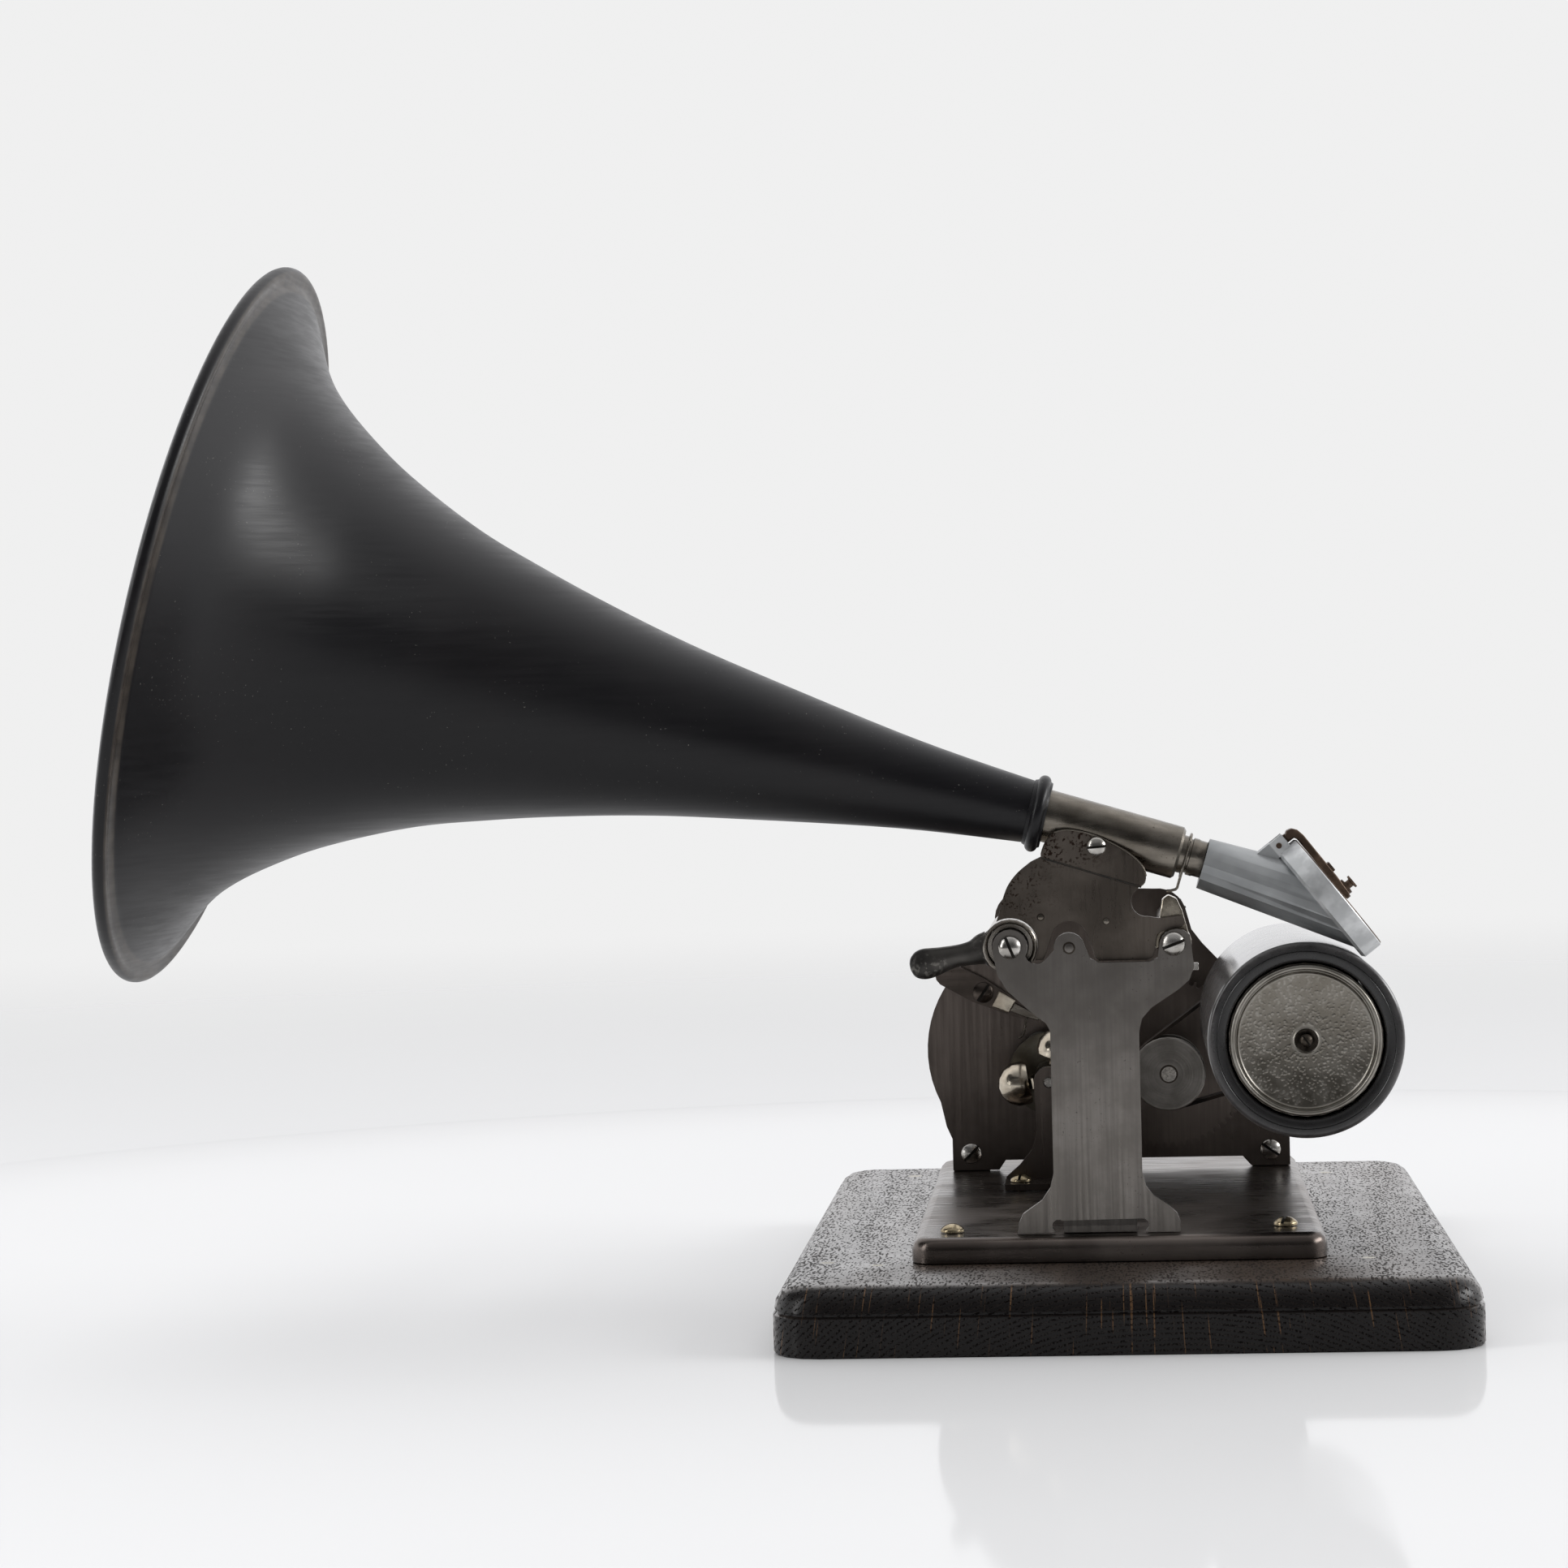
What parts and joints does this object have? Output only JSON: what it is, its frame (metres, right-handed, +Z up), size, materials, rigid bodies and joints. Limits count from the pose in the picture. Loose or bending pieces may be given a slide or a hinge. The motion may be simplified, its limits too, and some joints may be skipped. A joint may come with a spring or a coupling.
{
  "type": "wind-up cylinder phonograph",
  "caption": "Open spring-driven cylinder phonograph: steel motor bed on an oak base, belt-driven mandrel, sliding carriage and a black flared horn.",
  "frame": {"origin": "centre of the wooden base's underside", "axes": "+Z up; -Y is the front, where the flat front plate faces; +X to the right seen from the front, towards the mandrel, with the horn mouth towards -X"},
  "size_m": [0.3967, 0.3444, 0.3185],
  "materials": {
    "oak": "dark stained oak, open grain, satin",
    "bed_steel": "pressed steel, worn dull nickel",
    "plate_steel": "brushed plate, aged nickel",
    "bronzed_steel": "dark bronzed steel, fine vertical brushing",
    "nickel": "warm aged nickel plate",
    "bright_steel": "bright turned steel",
    "brass_screw": "aged brass",
    "dark_casting": "blackened casting",
    "aluminium": "satin cast aluminium",
    "wax": "hard black wax with fine grooves",
    "black_paint": "satin black japan",
    "leather": "dark flat belt",
    "brown_steel": "rust brown steel",
    "mica": "clear mica"
  },
  "bodies": {
    "base": {"wood_base": "oak", "bed_plate": "bed_steel", "bed_screw_1": "brass_screw", "bed_screw_2": "brass_screw", "bed_screw_3": "brass_screw", "bed_screw_4": "brass_screw", "rear_screw_1": "bright_steel", "rear_screw_2": "bright_steel", "front_plate": "plate_steel", "middle_plate": "bronzed_steel", "middle_screw_1": "brass_screw", "middle_screw_2": "brass_screw", "rear_plate": "bronzed_steel", "guide_rod": "bright_steel", "guide_rod_screw": "bright_steel", "feed_pivot_screw": "bright_steel", "mandrel_bearing": "dark_casting", "belt": "leather", "strap_screw": "bright_steel"},
    "slider": {"carriage_bushing": "nickel"},
    "carriage": {"carriage_sleeve": "nickel", "carriage_plate": "plate_steel", "tube_screw": "bright_steel", "horn_tube": "nickel", "lift_lever": "dark_casting", "half_nut": "bright_steel"},
    "horn": {"horn_bell": "black_paint", "horn_collar": "black_paint"},
    "reproducer": {"reproducer_neck": "nickel", "reproducer_body": "aluminium", "diaphragm": "mica"},
    "stylus_bar": {"stylus_lever": "brown_steel", "stylus": "brown_steel"},
    "barrel": {"great_wheel": "nickel", "spring_barrel": "bronzed_steel", "mainspring": "brown_steel"},
    "winding": {"winding_arbor": "bright_steel", "ratchet_wheel": "bright_steel", "winding_key": "nickel"},
    "pawl": {"ratchet_pawl": "bright_steel"},
    "drive": {"drive_shaft": "bright_steel", "second_wheel": "bronzed_steel", "drive_pulley": "plate_steel"},
    "third": {"third_shaft": "bright_steel", "third_wheel": "brass_screw"},
    "governor": {"governor_shaft": "bright_steel", "governor_weight_1": "nickel", "governor_weight_2": "nickel", "governor_weight_3": "nickel"},
    "brake_disc": {"governor_disc": "bright_steel"},
    "strap": {"speed_strap": "bronzed_steel"},
    "mandrel": {"mandrel": "nickel", "mandrel_cap": "nickel", "mandrel_screw": "bright_steel", "mandrel_shaft": "bright_steel", "mandrel_pulley": "plate_steel"},
    "record": {"record": "wax"},
    "feed": {"feed_screw": "bright_steel"},
    "idler_1": {"feed_idler_1": "brass_screw"},
    "idler_2": {"feed_idler_2": "brass_screw"}
  },
  "joints": [
    {"name": "drive_spin", "type": "hinge", "parent": "base", "child": "drive", "pos_m": [0.0152, 0.04, 0.0638], "axis": [0, 1, 0], "continuous": true},
    {"name": "barrel_spin", "type": "hinge", "parent": "base", "child": "barrel", "pos_m": [-0.02617, 0.085, 0.06815], "axis": [0, 1, 0], "continuous": true},
    {"name": "third_spin", "type": "hinge", "parent": "base", "child": "third", "pos_m": [-0.00997, 0.045, 0.04675], "axis": [0, 1, 0], "continuous": true},
    {"name": "governor_spin", "type": "hinge", "parent": "base", "child": "governor", "pos_m": [-0.0231, 0.045, 0.0606], "axis": [0, 1, 0], "continuous": true},
    {"name": "mandrel_spin", "type": "hinge", "parent": "base", "child": "mandrel", "pos_m": [0.05385, 0, 0.0825], "axis": [0, 1, 0], "continuous": true},
    {"name": "idler_1_spin", "type": "hinge", "parent": "base", "child": "idler_1", "pos_m": [0.03628, 0.0725, 0.08109], "axis": [0, 1, 0], "continuous": true},
    {"name": "idler_2_spin", "type": "hinge", "parent": "base", "child": "idler_2", "pos_m": [0.01784, 0.0725, 0.09374], "axis": [0, 1, 0], "continuous": true},
    {"name": "feed_spin", "type": "hinge", "parent": "base", "child": "feed", "pos_m": [0.0163, 0, 0.1113], "axis": [0, 1, 0], "continuous": true},
    {"name": "winding_turn", "type": "hinge", "parent": "base", "child": "winding", "pos_m": [-0.02617, 0.09, 0.06815], "axis": [0, 1, 0], "continuous": true},
    {"name": "pawl_lift", "type": "hinge", "parent": "base", "child": "pawl", "pos_m": [-0.02217, 0.0696, 0.08915], "axis": [0, 1, 0], "range_deg": [0, 25]},
    {"name": "brake_disc_slide", "type": "slide", "parent": "governor", "child": "brake_disc", "axis": [0, -1, 0], "range_m": [0, 0.0014]},
    {"name": "speed_strap_swing", "type": "hinge", "parent": "base", "child": "strap", "pos_m": [-0.0448, 0.0646, 0.087], "axis": [0, 1, 0], "range_deg": [-6, 6]},
    {"name": "record_slide", "type": "slide", "parent": "mandrel", "child": "record", "axis": [0, -1, 0], "range_m": [0, 0.112]},
    {"name": "carriage_slide", "type": "slide", "parent": "base", "child": "slider", "axis": [0, 1, 0], "range_m": [0, 0.098]},
    {"name": "carriage_lift", "type": "hinge", "parent": "slider", "child": "carriage", "pos_m": [-0.0312, -0.066, 0.1113], "axis": [0, -1, 0], "range_deg": [0, 18]},
    {"name": "horn_slide", "type": "slide", "parent": "carriage", "child": "horn", "axis": [-0.969, 0, 0.247], "range_m": [0, 0.02]},
    {"name": "reproducer_turn", "type": "hinge", "parent": "carriage", "child": "reproducer", "pos_m": [-0.0215, -0.0854, 0.1496], "axis": [0.9553, 0, -0.2957], "range_deg": [-5, 5]},
    {"name": "stylus_bar_lift", "type": "hinge", "parent": "reproducer", "child": "stylus_bar", "pos_m": [0.04791, -0.0854, 0.1392], "axis": [0, -1, 0], "range_deg": [0, 12]}
  ],
  "couplings": [
    {"joint": "barrel_spin", "follows": "drive_spin", "ratio": -0.14286},
    {"joint": "third_spin", "follows": "drive_spin", "ratio": -8.5},
    {"joint": "governor_spin", "follows": "drive_spin", "ratio": 55.857},
    {"joint": "mandrel_spin", "follows": "drive_spin", "ratio": 0.59269},
    {"joint": "idler_1_spin", "follows": "drive_spin", "ratio": -0.34194},
    {"joint": "idler_2_spin", "follows": "drive_spin", "ratio": 0.34194},
    {"joint": "feed_spin", "follows": "drive_spin", "ratio": -0.59269}
  ]
}
